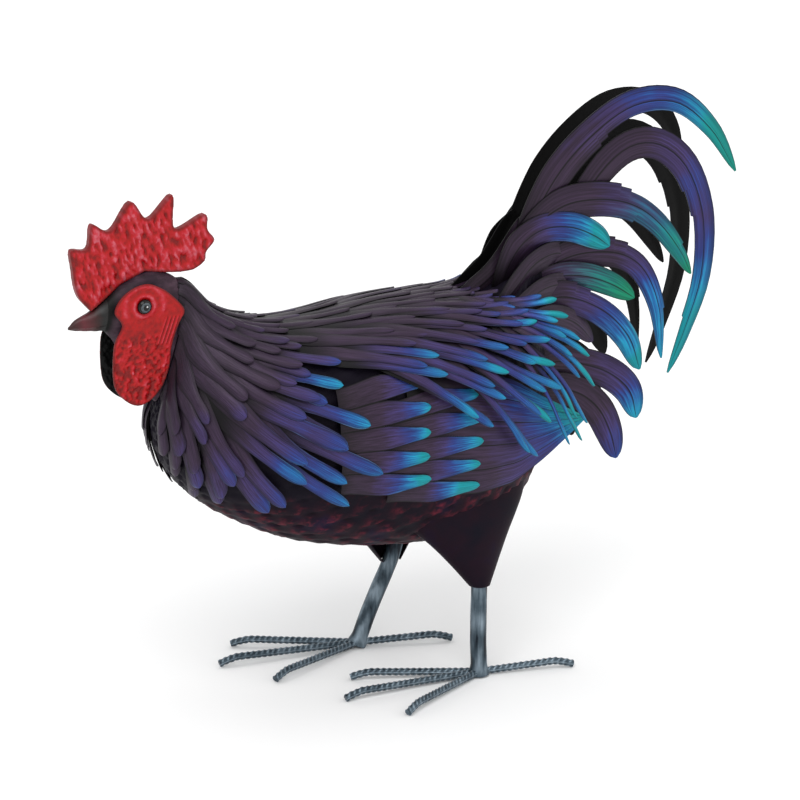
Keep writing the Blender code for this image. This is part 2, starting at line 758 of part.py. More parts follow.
def main():
    clear_scene()
    shop = Workshop()
    shop.skin = Rings(SKIN)
    shop.plumage = Rings(plumage_rings())
    make_body(shop)
    make_ground_cutter(shop)
    head = make_head(shop)
    make_comb(shop, head)
    make_feather_rows(shop)
    for side in (LEFT, RIGHT):
        make_face(shop, side)
        make_wing(shop, side)
        for name, half, out, line in TAIL_FEATHERS:
            if side == RIGHT and name == "sickle_top":
                line = RIGHT_SICKLE_TOP
            make_tail_feather(shop, name, line, half, out, side)
        make_thigh(shop, side)
        make_leg(shop, side)
        make_foot(shop, side)
    centre_on_origin(shop)


main()
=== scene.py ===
"""A life-size rooster of painted sheet steel, dressed feather by feather over its frame."""

import random
from math import copysign, cos, exp, hypot, inf, pi, radians, sin, sqrt

import bmesh
import bpy
import numpy as np
from mathutils import Matrix, Vector, noise


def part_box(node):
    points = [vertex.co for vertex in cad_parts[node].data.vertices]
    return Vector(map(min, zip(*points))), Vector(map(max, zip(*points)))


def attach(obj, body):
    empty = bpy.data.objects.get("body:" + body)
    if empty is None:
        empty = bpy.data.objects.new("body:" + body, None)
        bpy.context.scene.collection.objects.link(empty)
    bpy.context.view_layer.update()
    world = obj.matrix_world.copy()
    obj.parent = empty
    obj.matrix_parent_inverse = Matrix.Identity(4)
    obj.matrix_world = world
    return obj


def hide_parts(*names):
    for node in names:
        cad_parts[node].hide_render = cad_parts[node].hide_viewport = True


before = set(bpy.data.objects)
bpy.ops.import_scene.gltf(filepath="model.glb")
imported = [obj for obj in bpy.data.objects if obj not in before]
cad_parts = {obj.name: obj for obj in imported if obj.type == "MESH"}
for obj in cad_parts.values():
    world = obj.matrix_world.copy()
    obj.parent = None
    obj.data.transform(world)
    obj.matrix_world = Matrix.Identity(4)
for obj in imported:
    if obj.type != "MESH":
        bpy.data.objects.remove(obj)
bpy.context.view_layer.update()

# The figure is drawn on the same grid as its solids: 1 mm, ground at z = 0, rooster facing -X.
GRID = 0.001
BEAK_TIP_X = -386
SHIFT = Vector((
    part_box("head")[0].x - BEAK_TIP_X * GRID,
    (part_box("comb")[0].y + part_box("comb")[1].y) / 2,
    0,
))
LEFT = -1
RIGHT = 1
NAMES = {LEFT: "left", RIGHT: "right"}

# Sheet and bar sizes, in metres.
FEATHER_SHEET = 0.0009
WING_SHEET = 0.0011
COMB_THICKNESS = 0.0085
FACE_THICKNESS = 0.0022
LEG_RADIUS = 0.0085
TOE_RADIUS = 0.004
EYE_RADIUS = 0.0075
EYE_HEIGHT = 0.0048

# The skin's rings: (lowest point x, z), (highest point x, z) and half width, on the grid.
SKIN = (
    ((-296, 324), (-261, 438), 15),
    ((-298, 296), (-241, 413), 31),
    ((-290, 264), (-209, 396), 53),
    ((-268, 231), (-171, 388), 72),
    ((-228, 199), (-116, 387), 87),
    ((-156, 163), (-59, 392), 95),
    ((-64, 143), (-1, 393), 96),
    ((26, 139), (52, 394), 90),
    ((91, 161), (90, 408), 72),
    ((131, 208), (112, 440), 38),
    ((148, 270), (132, 466), 17),
)
PLUMAGE_HALF_WIDTHS = (15, 31, 53, 72, 88, 101, 107, 107, 102, 94, 84)
PLUMAGE_REAR = (((100, 161), (90, 408)), ((156, 173), (118, 440)), ((208, 194), (146, 466)))
HEAD = (
    ((-297, 325), (-262, 441), 14),
    ((-324, 360), (-283, 454), 15.5),
    ((-338, 389), (-306, 458), 15.5),
    ((-346, 400), (-332, 448), 13),
    ((-352, 404), (-350, 434), 10.5),
    ((-362, 405), (-363, 425), 8),
    ((-375, 407), (-376, 419), 4.5),
    ((-386, 409), (-386, 412), 1.2),
)

# The comb's spikes, as tip and the valley behind it, and the rest of its edge, on the grid.
COMB_SPIKES = (
    ((-382, 488), (-365, 488)),
    ((-360, 511), (-341, 503)),
    ((-319, 529), (-301, 510)),
    ((-275, 531), (-273, 497)),
    ((-241, 508), (-238, 492)),
    ((-231, 481), (-240, 470)),
)
COMB_HEEL = ((-242, 461), (-254, 454), (-268, 453))
COMB_FRONT = ((-367, 430), (-375, 440), (-379, 452), (-381, 469))
COMB_SEAT_RINGS = (1, 2, 3, 4, 5)

FACE_EDGE = (
    (-345, 425), (-338, 439), (-324, 448), (-309, 450), (-294, 443), (-282, 433),
    (-271, 419), (-276, 408), (-281, 396), (-285, 382), (-287, 364), (-294, 345),
    (-307, 331), (-321, 327), (-335, 335), (-345, 349), (-347, 370), (-345, 394),
    (-337, 411),
)
FACE_EYE = (-314, 428)
FACE_OUT = 18.4
FACE_INWARD_DEG = 3.0

# Rows of neck and back feathers: node, rings, root ring, lift in mm for each ring, feathers in a
# layer, reach in degrees, how far round the roots are as a share of the tips, where along a
# feather it comes out from under the row in front, the ring where the tips end at each angle
# from the nape, and how far along the paint's range the tips get at each angle.
FEATHER_ROWS = (
    ("neck_feathers_long", "skin", 1.7, 2.6, 21, 172, 0.76, 0.34,
     ((0, 3.7), (30, 3.9), (50, 4.1), (76, 4.8), (92, 5.3), (104, 5.3), (118, 5.1), (135, 4.2),
      (150, 3.5), (172, 3.1)),
     ((0, 0.4), (40, 0.5), (62, 0.9), (88, 1.0), (112, 0.98), (124, 0.82), (142, 0.68), (172, 0.3))),
    ("neck_feathers_middle", "skin", 0.7, 3.5, 19, 172, 0.78, 0.3,
     ((0, 2.9), (40, 3.3), (70, 4.0), (90, 4.6), (104, 4.5), (112, 4.1), (126, 3.4), (150, 2.7),
      (172, 2.4)),
     ((0, 0.35), (40, 0.45), (60, 0.65), (90, 0.9), (115, 0.8), (135, 0.65), (172, 0.3))),
    ("neck_feathers_collar", "neck", 0.95, 4.2, 15, 172, 0.85, -0.3,
     ((0, 2.9), (40, 3.3), (67, 4.1), (93, 3.9), (135, 3.1), (172, 2.6)),
     ((0, 0.3), (45, 0.4), (90, 0.6), (140, 0.5), (172, 0.2))),
    ("saddle_feathers", "plumage", 6.5, 1.0, 22, 118, 0.18, 0.34,
     ((0, 7.3), (22, 7.7), (40, 8.6), (60, 9.15), (95, 9.3), (118, 8.8)),
     ((0, 0.45), (30, 0.78), (55, 1.03), (75, 1.08), (118, 1.1))),
    ("back_feathers_rear", "plumage", 5.2, 1.8, 20, 108, 0.32, 0.36,
     ((0, 7.2), (30, 7.8), (60, 8.3), (80, 8.3), (108, 7.7)),
     ((0, 0.45), (30, 0.8), (50, 0.98), (76, 1.02), (108, 1.0))),
    ("back_feathers_middle", "plumage", 4.1, 2.6, 16, 90, 0.46, 0.36,
     ((0, 6.3), (30, 6.8), (60, 7.2), (90, 6.8)),
     ((0, 0.4), (30, 0.65), (58, 0.95), (90, 0.92))),
    ("back_feathers_front", "plumage", 3.1, 2.6, 11, 68, 0.64, 0.34,
     ((0, 5.1), (30, 5.6), (50, 6.0), (68, 5.9)),
     ((0, 0.3), (30, 0.5), (54, 0.9), (68, 0.85))),
)
# The two layers of a row, lower first: how many rings shorter, how much higher, and how much
# further along its feathers are still in the shadow of their neighbours.
FEATHER_LAYERS = ((0.0, 0.0, 0.24), (0.45, 0.0016, 0.0))
# Uneven work: how far feathers stray in angle as a share of the pitch, in length in rings, along
# the paint's range and round the rings at the tip, and how far a tip may kick up.
ANGLE_STRAY = 0.1
LENGTH_STRAY = 0.28
PAINT_STRAY = (-0.14, 0.08)
SWAY_DEG = 1.8
KICK = 0.0016
# Every second feather stands a little higher, and each is domed across.
NEIGHBOUR_LIFT = 0.0008
FEATHER_CROWN = 0.0014

# The wing lies on a long oval shell outside the skin: half width at x, on the grid.
WING_SHELL = ((-130, 96), (-60, 100), (30, 100), (100, 91), (180, 79))
WING_CENTRE_Z = 268
WING_HALF_HEIGHT = 138
WING_LOWER_EDGE = (
    (-110, 245), (-70, 222), (-32, 213), (16, 208), (59, 213), (93, 233), (142, 265)
)
WING_UPPER_EDGE = (
    (-110, 324), (-70, 342), (-32, 346), (16, 338), (59, 320), (93, 298), (142, 270)
)
FLIGHT_FROM_X = -66
FLIGHT_FEATHERS = 5
# Each row of wing coverts: front edge and tips as x, how many tips, lowest and highest z, layer.
COVERT_ROWS = (
    ("wing_coverts_rear", -89, 17, 5, 207, 326, 1),
    ("wing_coverts_front", -142, -42, 5, 224, 345, 2),
)
WING_LAYER = 0.002

# Tail feathers, innermost first: half width, distance from the middle of the bird, how far along
# the paint's range the tip gets, greenness, step cuts as (edge, place along), and rib line x, z.
TAIL_FEATHERS = (
    ("sickle_low", 17, 14.0, 1.1, 0.5, ((-1, 0.6), (-1, 0.66), (-1, 0.86)), (
        (100, 380), (143, 420), (186, 490), (225, 525), (264, 527),
        (299, 498), (319, 444), (318, 380), (299, 322), (282, 279),
    )),
    ("sickle_top", 18, 15.4, 1.14, 0.6, ((-1, 0.44), (-1, 0.47)), (
        (94, 392), (117, 456), (147, 506), (185, 543),
        (233, 570), (284, 569), (326, 536), (357, 489),
    )),
    ("sickle_inner", 17, 16.8, 0.95, 0.5, ((1, 0.5), (1, 0.56), (1, 0.86)), (
        (98, 383), (126, 405), (160, 419), (195, 421),
        (228, 413), (252, 391), (268, 351), (273, 297),
    )),
    ("sickle_middle", 19, 18.2, 1.08, 0.85, ((1, 0.52), (1, 0.56), (-1, 0.62), (1, 0.84)), (
        (90, 403), (116, 449), (150, 473), (190, 477),
        (231, 468), (264, 445), (291, 411), (305, 385),
    )),
    ("covert_upper", 16, 20.0, 1.15, 0.1, (), (
        (78, 388), (92, 422), (108, 442), (132, 453), (162, 451), (187, 440), (207, 426),
    )),
    ("covert_middle", 14, 22.0, 1.0, 1.0, (), (
        (88, 365), (114, 389), (146, 401), (178, 398), (208, 386), (236, 368),
    )),
    ("covert_lower", 17, 29.0, 1.15, 0.1, ((1, 0.45), (1, 0.52)), (
        (86, 353), (118, 375), (150, 381), (192, 363), (224, 331), (240, 292),
    )),
    ("covert_hanging", 17, 36.0, 0.95, 0.3, (), (
        (93, 302), (127, 315), (160, 311), (196, 297), (222, 274), (233, 242),
    )),
    ("covert_last", 17, 41.0, 0.72, 0.0, (), (
        (94, 280), (127, 289), (160, 280), (183, 261), (197, 235), (207, 203),
    )),
)
RIGHT_SICKLE_TOP = (
    (98, 390), (121, 453), (152, 504), (188, 539), (231, 562), (277, 559), (308, 530), (322, 482)
)
TAIL_SPREAD = 0.05
TAIL_SPREAD_FROM_X = 120
# Short dark feathers that cover the tail's root, in the same form, with their own spread.
ROOT_COVERTS = (
    ("root_covert_back", 13, 12.5, 0.2, 0.0, 0.04,
     ((28, 382), (54, 394), (80, 413), (100, 439), (115, 468))),
    ("root_covert_high", 13, 27.0, 0.4, 0.0, -0.3,
     ((60, 376), (86, 398), (114, 419), (146, 425), (178, 413))),
    ("root_covert_middle", 12, 36.0, 0.45, 0.0, -0.34,
     ((58, 366), (90, 382), (122, 394), (154, 392), (186, 374))),
    ("root_covert_low", 12, 45.0, 0.5, 0.0, -0.32,
     ((58, 358), (94, 364), (128, 366), (162, 352), (190, 326))),
)

# The thighs' rings: height, x and y of the middle, and half widths along x and y, on the grid.
THIGH_RINGS = {
    LEFT: ((192, 11, 50, 80, 25), (148, 23, 60, 43, 20)),
    RIGHT: ((192, -13, 50, 78, 25), (139, -8, 60, 43, 20)),
}
# The thigh's sheet goes on upwards inside the body to this ring.
THIGH_HIDDEN_RING = (230, 4, 46, 92, 24)
THIGH_CUFF_Z = {LEFT: 100, RIGHT: 90}
THIGH_WRAP_FROM_DEG = -24
THIGH_SHEET = 0.0012
THIGH_CUFF_ROOM = 0.0012
# Each leg's middle line, upwards from the foot: x, z and y, on the grid.
LEG_LINES = {
    LEFT: ((32, 2, 67), (31, 52, 67), (31, 101, 68), (28, 145, 62), (25, 205, 50)),
    RIGHT: ((-41, 2, 67), (-21, 48, 67), (-1, 89, 67), (8, 135, 61), (12, 205, 50)),
}
# Toes: direction in degrees from straight ahead, and length on the grid.
TOES = {"inner": (-24, 133), "middle": (-2, 155), "outer": (26.5, 134), "back": (163, 101)}
FOOT_TURN = {LEFT: 2.5, RIGHT: -2.5}
ANKLE_HEIGHT = 0.0045
TOE_BEND_HEIGHT = 0.0088
TOE_TIP_HEIGHT = 0.004
TOE_BEND_LENGTH = 0.022
TOE_IN_LEG = 0.0017

# How far to each side a slope is measured, in rings or in spans of a line.
NEAR = 0.05


def in_frame(x, y, z):
    return Vector((x, y, z)) * GRID + SHIFT


def curve_at(rows, t):
    """The Catmull-Rom curve through rows of numbers, at t from 0 to len(rows) - 1."""
    last = len(rows) - 1
    t = min(max(t, 0.0), float(last))
    i = min(int(t), last - 1)
    f = t - i
    before = rows[i - 1] if i > 0 else [2 * a - b for a, b in zip(rows[0], rows[1])]
    after = rows[i + 2] if i + 2 <= last else [2 * a - b for a, b in zip(rows[last], rows[last - 1])]
    return [
        b + 0.5 * f * (c - a + f * (2 * a - 5 * b + 4 * c - d + f * (3 * (b - c) + d - a)))
        for a, b, c, d in zip(before, rows[i], rows[i + 1], after)
    ]


def table_at(pairs, at):
    """Straight interpolation in a table of (key, value) pairs."""
    for (k0, v0), (k1, v1) in zip(pairs, pairs[1:]):
        if at <= k1:
            return v0 + (v1 - v0) * max(at - k0, 0.0) / (k1 - k0)
    return pairs[-1][1]


def smooth_step(low, high, value):
    share = min(max((value - low) / (high - low), 0.0), 1.0)
    return share * share * (3 - 2 * share)


def bulge(off, width):
    """A round hill: 1 in the middle, and next to nothing twice its width away."""
    return exp(-((off / width) ** 2))


def signed_power(value, power):
    return copysign(abs(value) ** power, value)


class Rings:
    """A tube through oval rings. s counts rings, and the angle runs from the top down the side."""

    FULLNESS = 2 / 2.2

    def __init__(self, rings):
        self.rows = [(low[0], low[1], top[0], top[1], half) for low, top, half in rings]

    def on_ring(self, s, degrees):
        low_x, low_z, top_x, top_z, half = curve_at(self.rows, s)
        angle = radians(degrees)
        up = signed_power(cos(angle), self.FULLNESS)
        out = signed_power(sin(angle), self.FULLNESS)
        x = (low_x + top_x) / 2 + up * (top_x - low_x) / 2
        z = (low_z + top_z) / 2 + up * (top_z - low_z) / 2
        return Vector((x, half * out, z))

    def point(self, s, degrees, lift):
        """The point in the frame at ring s and angle, lifted along the normal by lift metres."""
        along = self.on_ring(s + NEAR, degrees) - self.on_ring(s - NEAR, degrees)
        around = self.on_ring(s, degrees + 1) - self.on_ring(s, degrees - 1)
        return in_frame(*self.on_ring(s, degrees)) + along.cross(around).normalized() * lift


def plumage_rings():
    kept = len(SKIN) - len(PLUMAGE_REAR)
    lines = [(low, top) for low, top, _ in SKIN[:kept]] + list(PLUMAGE_REAR)
    return [(low, top, half) for (low, top), half in zip(lines, PLUMAGE_HALF_WIDTHS)]


# The neck's rings are the skin's, with one of the head's in front of them.
SURFACES = {
    "skin": Rings(SKIN), "neck": Rings((HEAD[1], *SKIN)), "plumage": Rings(plumage_rings()),
}


class Form:
    """A mesh in the making, whose points carry paint values with those names."""

    def __init__(self, *value_names):
        self.mesh = bmesh.new()
        self.layers = [self.mesh.verts.layers.float.new(name) for name in value_names]

    def vertex(self, place, values):
        made = self.mesh.verts.new(place)
        for layer, value in zip(self.layers, values):
            made[layer] = value
        return made

    def face(self, corners, paint):
        self.mesh.faces.new(corners).material_index = paint

    def finish(self, name, paints, nodes, slot):
        add_piece(name, mesh_of(self.mesh, name), paints, nodes, slot)


class Leaves(Form):
    """Feathers of sheet metal in one mesh. facing, 1 or -1, turns their painted faces outwards."""

    def __init__(self, thickness, facing):
        super().__init__("along", "across", "reach", "tone", "green", "shade")
        self.thickness = thickness
        self.facing = facing

    def add(self, place, stations, columns, reach, tone, green, shade):
        """One feather: place(u, v) is its painted face, u from -1 to 1 across, v from 0 to 1."""
        across = [2 * j / columns - 1 for j in range(columns + 1)]
        grid = [[place(u, v) for u in across] for v in stations]
        last = len(stations) - 1
        front, back = [], []
        for i, v in enumerate(stations):
            front.append([])
            back.append([])
            k = min(i, last - 1)
            for j, u in enumerate(across):
                along = grid[min(i + 1, last)][j] - grid[max(i - 1, 0)][j]
                width = grid[k][min(j + 1, columns)] - grid[k][max(j - 1, 0)]
                normal = along.cross(width).normalized() * self.facing
                values = (v, u, reach, tone, green, shade)
                front[i].append(self.vertex(grid[i][j], values))
                back[i].append(self.vertex(grid[i][j] - normal * self.thickness, values))
        for i in range(last):
            for j in range(columns):
                for paint, sheet in enumerate((front, back)):
                    corners = [sheet[i][j], sheet[i + 1][j], sheet[i + 1][j + 1], sheet[i][j + 1]]
                    self.face(corners[:: self.facing * (1 - 2 * paint)], paint)
        border = [(i, 0) for i in range(last)] + [(last, j) for j in range(columns)]
        border += [(i, columns) for i in range(last, 0, -1)] + [(0, j) for j in range(columns, 0, -1)]
        for (i, j), (k, m) in zip(border, border[1:] + border[:1]):
            self.face([front[i][j], back[i][j], back[k][m], front[k][m]][:: self.facing], 0)


def mesh_of(form, name):
    mesh = bpy.data.meshes.new(name)
    form.to_mesh(mesh)
    form.free()
    return mesh


def linked(name, data):
    """A new object of the scene with that data."""
    made = bpy.data.objects.new(name, data)
    bpy.context.scene.collection.objects.link(made)
    return made


def add_piece(name, mesh, paints, nodes, slot, sharp_degrees=50):
    """A finished piece of the sculpture, which stands for those solids."""
    mesh.shade_smooth()
    mesh.set_sharp_from_angle(angle=radians(sharp_degrees))
    for paint in paints:
        mesh.materials.append(paint)
    piece = linked(name, mesh)
    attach(piece, "root")
    if nodes:
        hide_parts(*nodes)


# Colours.

# What the studio does to paint: how much light falls on it, and the white that gloss adds.
STUDIO_LIGHT = 1.25
GLOSS_VEIL = 0.02
DARKEST_PAINT = 0.0025


def seen(red, green, blue):
    """The paint that looks like this colour, in the usual 0 to 255 values, in the studio."""
    values = []
    for part in (red, green, blue):
        share = part / 255
        light = share / 12.92 if share <= 0.04045 else ((share + 0.055) / 1.055) ** 2.4
        values.append(max((light - GLOSS_VEIL) / STUDIO_LIGHT, DARKEST_PAINT))
    return (*values, 1)


class Paint:
    """A material and short ways to wire its nodes."""

    def __init__(self, name, roughness, metallic, specular):
        self.material = bpy.data.materials.new(name)
        self.material.use_nodes = True
        self.tree = self.material.node_tree
        self.shader = self.tree.nodes["Principled BSDF"]
        self.surface("Roughness", roughness)
        self.surface("Metallic", metallic)
        self.surface("Specular IOR Level", specular)
        self.place = self.node("TexCoord", {})["Object"]

    def feed(self, socket, value):
        if isinstance(value, bpy.types.NodeSocket):
            self.tree.links.new(value, socket)
        else:
            socket.default_value = value

    def surface(self, name, value):
        self.feed(self.shader.inputs[name], value)

    def node(self, kind, inputs, **settings):
        """The outputs of a new node of that kind, with those inputs and settings."""
        made = self.tree.nodes.new(f"ShaderNode{kind}")
        for key, setting in settings.items():
            setattr(made, key, setting)
        for key, value in inputs.items():
            self.feed(made.inputs[key], value)
        return made.outputs

    def value(self, name):
        return self.node("Attribute", {}, attribute_name=name)["Fac"]

    def math(self, operation, *values):
        return self.node("Math", dict(enumerate(values)), operation=operation)[0]

    def times(self, value, *factors):
        for factor in factors:
            value = self.math("MULTIPLY", value, factor)
        return value

    def varied(self, value, noise, amount):
        """The value, with a noise that is 0.5 on average added that many times."""
        return self.math("MULTIPLY_ADD", self.math("SUBTRACT", noise, 0.5), amount, value)

    def spread(self, value, low, high, to_low=0.0, to_high=1.0):
        """Maps low..high to to_low..to_high, held at the ends."""
        inputs = dict(enumerate((value, low, high, to_low, to_high)))
        return self.node("MapRange", inputs, interpolation_type="SMOOTHSTEP")[0]

    def stretched(self, x, y, z):
        """The place on the piece, with its coordinates multiplied."""
        return self.node("VectorMath", {0: self.place, 1: (x, y, z)}, operation="MULTIPLY")[0]

    def noise(self, scale, detail=3.0, rough=0.55, place=None):
        place = place or self.place
        inputs = {"Vector": place, "Scale": scale, "Detail": detail, "Roughness": rough}
        return self.node("TexNoise", inputs)["Fac"]

    def ramp(self, value, *stops):
        colour = self.node("ValToRGB", {"Fac": value})["Color"]
        elements = colour.node.color_ramp.elements
        while len(elements) < len(stops):
            elements.new(1.0)
        for element, (position, *rgb) in zip(elements, stops):
            element.position = position
            element.color = seen(*rgb)
        return colour

    def mix(self, share, a, b):
        return self.node("Mix", {"Factor": share, 6: a, 7: b}, data_type="RGBA")[2]

    def scaled(self, colour, factor):
        """The colour made lighter or darker by a factor."""
        return self.node("VectorMath", {0: colour, "Scale": factor}, operation="SCALE")[0]

    def finish(self, colour, height=None, strength=0.0, depth=0.0):
        """The material, once it has its colour and a fine relief if there is one."""
        self.surface("Base Color", colour)
        if height:
            inputs = {"Height": height, "Strength": strength, "Distance": depth}
            self.surface("Normal", self.node("Bump", inputs)["Normal"])
        return self.material


# Charcoal, plum grey, violet, indigo, blue, cyan and teal, with their places in the paint's range.
FEATHER_COLOURS = (
    (0.0, 64, 56, 64), (0.44, 72, 60, 78), (0.61, 78, 68, 112), (0.74, 62, 76, 144),
    (0.85, 54, 114, 176), (0.95, 52, 158, 196), (1.0, 44, 158, 168),
)
GREEN = seen(44, 146, 112)
BLACK = seen(16, 14, 16)


def feather_paint(name, shaft, streak_scale, seam, edge_shade):
    """Airbrushed paint that runs from charcoal at a feather's root to violet, blue and cyan."""
    paint = Paint(name, 0.4, 0.3, 0.25)
    along, across, reach = paint.value("along"), paint.value("across"), paint.value("reach")
    wide = paint.math("ABSOLUTE", across)
    brush = (
        paint.times(across, 2.2), paint.times(along, 1.1), paint.times(paint.value("tone"), 37.0)
    )
    brush = paint.node("CombineXYZ", dict(enumerate(brush)))[0]
    streaks = paint.noise(streak_scale, 4.0, 0.6, brush)
    clouds = paint.noise(16.0, 2.0)
    heat = paint.varied(paint.times(along, reach), streaks, 0.34)
    heat = paint.varied(heat, clouds, 0.45)
    greened = paint.spread(paint.times(heat, paint.value("green")), 0.45, 0.9)
    colour = paint.mix(greened, paint.ramp(heat, *FEATHER_COLOURS), GREEN)
    light = paint.spread(streaks, 0.25, 0.78, 0.6, 1.3)
    # Painted shade: each feather is darker towards its edges by edge_shade, and dark as painted shadow
    # up to where it comes out from under its neighbours.
    edge = paint.spread(wide, 0.4, 1.0, 1.0, edge_shade)
    root = paint.math("SUBTRACT", along, paint.value("shade"))
    root = paint.spread(root, -0.14, 0.16, 0.07, 1.0)
    colour = paint.scaled(colour, paint.times(light, edge, root))
    # Painted highlight: pale blue along the edges, strongest towards the tips.
    rubbed_and_highlight = paint.times(
        paint.spread(wide, 0.8, 0.95), paint.spread(streaks, 0.45, 0.65),
        paint.spread(heat, 0.5, 0.9, 0.0, 0.4),
    )
    colour = paint.mix(rubbed_and_highlight, colour, seen(130, 165, 200))
    line = paint.spread(wide, shaft * 0.6, shaft * 1.4, 0.85, 0.0)
    colour = paint.mix(line, colour, BLACK)
    # Painted shadow: a black line, seam wide, along each feather's edge, for the shadowed gaps between
    # feathers.
    rim = paint.spread(wide, 1 - seam, 1 - seam * 0.4, 0.0, 0.9)
    colour = paint.mix(rim, colour, BLACK)
    paint.surface("Roughness", paint.spread(streaks, 0.2, 0.8, 0.48, 0.32))
    return paint.finish(colour, streaks, 0.25, 0.0006)


def underside_paint():
    paint = Paint("feather_underside", 0.6, 0.0, 0.15)
    grime = paint.noise(60.0)
    return paint.finish(paint.ramp(grime, (0.3, 12, 11, 12), (0.7, 38, 35, 38)))


def belly_paint():
    paint = Paint("belly_plum", 0.55, 0.1, 0.1)
    clouds = paint.noise(22.0)
    fine = paint.noise(140.0, 4.0)
    colour = paint.ramp(
        clouds, (0.3, 42, 35, 48), (0.5, 50, 37, 48), (0.7, 46, 38, 58)
    )
    raised = paint.value("raised")
    # Reddish on the scales' raised rears: rubbed paint, and also a painted highlight.
    rubbed_and_highlight = paint.times(
        paint.spread(raised, 0.55, 1.0), paint.spread(fine, 0.35, 0.7),
        paint.spread(clouds, 0.35, 0.55, 0.3, 1.0),
    )
    colour = paint.mix(rubbed_and_highlight, colour, seen(128, 56, 68))
    # Painted shade: darker in the grooves between the scales.
    colour = paint.scaled(colour, paint.spread(raised, 0.0, 0.4, 0.4, 1.0))
    # Above the belly the skin is plain charcoal, its own colour, kept dark as painted shade where it
    # shows between the feathers.
    colour = paint.mix(paint.value("upper"), colour, seen(44, 37, 48))
    return paint.finish(colour, fine, 0.2, 0.0005)


def red_paint():
    paint = Paint("comb_crimson", 0.4, 0.05, 0.3)
    raised = paint.value("raised")
    fine = paint.noise(260.0, 4.0)
    clouds = paint.noise(30.0)
    # Darker crimson in the valleys and paler on the ridges: the paint's own dry-brushed look, and also
    # painted shade and highlight of the folds.
    colour = paint.ramp(
        paint.varied(raised, clouds, 0.4), (0.05, 136, 16, 26), (0.35, 182, 30, 40),
        (0.7, 200, 48, 58), (1.0, 206, 78, 90),
    )
    # Pink on the ridges: dry-brushed paint, and also a painted highlight.
    rubbed_and_highlight = paint.times(paint.spread(raised, 0.5, 0.95), paint.spread(fine, 0.4, 0.62), 0.7)
    colour = paint.mix(rubbed_and_highlight, colour, seen(212, 112, 124))
    edge = paint.spread(paint.value("edge"), 0.25, 1.0, 0.0, 0.7)
    colour = paint.mix(edge, colour, seen(104, 16, 24))
    paint.surface("Roughness", paint.spread(fine, 0.2, 0.8, 0.34, 0.5))
    return paint.finish(colour, fine, 0.3, 0.0004)


def steel_paint(name, upright):
    """Blue-grey brushed metal, dark in the hollows, with streaks that are longer if upright < 1."""
    paint = Paint(name, 0.42, 0.55, 0.4)
    streaks = paint.noise(260.0, 4.0, place=paint.stretched(1.0, 1.0, upright))
    patches = paint.noise(45.0)
    height = paint.varied(paint.value("raised"), streaks, 0.9)
    height = paint.varied(height, patches, 0.5)
    colour = paint.ramp(
        height, (0.1, 40, 47, 54), (0.45, 86, 100, 110), (0.9, 152, 168, 180)
    )
    return paint.finish(colour, streaks, 0.25, 0.0004)


def head_paint():
    paint = Paint("head_slate", 0.5, 0.15, 0.2)
    clouds = paint.noise(40.0)
    fine = paint.noise(200.0, 4.0, place=paint.stretched(0.5, 1.0, 1.0))
    colour = paint.ramp(
        clouds, (0.3, 58, 48, 56), (0.55, 78, 62, 72), (0.75, 96, 78, 88)
    )
    colour = paint.scaled(colour, paint.spread(fine, 0.25, 0.75, 0.6, 1.2))
    colour = paint.mix(paint.value("along"), colour, BLACK)
    return paint.finish(colour, fine, 0.4, 0.0006)


def beak_paint():
    paint = Paint("beak_maroon", 0.42, 0.0, 0.4)
    fine = paint.noise(220.0, 4.0, place=paint.stretched(0.3, 1.0, 1.0))
    colour = paint.ramp(
        paint.varied(paint.value("tip"), fine, 0.3), (0.1, 18, 14, 16),
        (0.35, 66, 32, 36), (0.75, 100, 48, 54), (1.0, 66, 36, 38),
    )
    return paint.finish(colour, fine, 0.25, 0.0004)


def eye_paint():
    paint = Paint("eye_glass", 0.08, 0.0, 0.3)
    radius = paint.value("radius")
    flecks = paint.noise(900.0)
    iris = paint.ramp(flecks, (0.3, 64, 70, 76), (0.7, 112, 120, 124))
    colour = paint.mix(paint.spread(radius, 0.36, 0.44), seen(8, 8, 10), iris)
    colour = paint.mix(paint.spread(radius, 0.62, 0.72), colour, seen(12, 11, 12))
    # Painted highlight: a small white glint where the lamp would reflect in the bead.
    return paint.finish(paint.mix(paint.value("glint"), colour, seen(250, 250, 250)))


# Feathers on rings.

def tip_stations(rows):
    """Places along a feather, closer together towards its round tip."""
    return [sin(pi / 2 * i / rows) for i in range(rows + 1)]


def round_tip(v, start):
    """The share of its width that a feather with a round tip from start on has at v."""
    share = max(v - start, 0.0) / (1 - start)
    return max(sqrt(max(1 - share * share, 0.0)), 0.05)


def make_feather_rows(paints):
    dice = random.Random(11)
    upper_paint, root_dip, tight_share = 0.05, 0.45, 0.45
    for name, rings, root, lift, count, reach, drift, shade, ends, reaches in FEATHER_ROWS:
        leaves = Leaves(FEATHER_SHEET, 1)
        pitch = 2 * reach / count
        for layer, (shorter, raised, shadow) in enumerate(FEATHER_LAYERS):
            for i in range(count - layer):
                stray = dice.uniform(-ANGLE_STRAY, ANGLE_STRAY)
                degrees = pitch * (i + 0.5 + 0.5 * layer + stray) - reach
                angle = abs(degrees)
                end = table_at(ends, angle) - shorter - dice.uniform(0.0, LENGTH_STRAY)
                heat = table_at(reaches, angle) + dice.uniform(*PAINT_STRAY)
                heat -= upper_paint * layer
                base = FEATHER_SHEET + raised + (i % 2) * NEIGHBOUR_LIFT
                start = root - root_dip * max(cos(radians(degrees)), 0.0)
                tight = smooth_step(125, 155, angle)
                raising = lift * (0.5 + 0.5 * smooth_step(10, 50, angle)) * (1 - tight_share * tight)
                place = ring_feather(
                    SURFACES[rings], dice, degrees, pitch, drift, start, end, base, raising
                )
                leaves.add(place, tip_stations(16), 6, heat, dice.random(), 0.0, shade + shadow)
        slot = "dark_feathers" if name.startswith("neck") else "blue_feathers"
        leaves.finish(f"{name}_blades", paints, [name], slot)


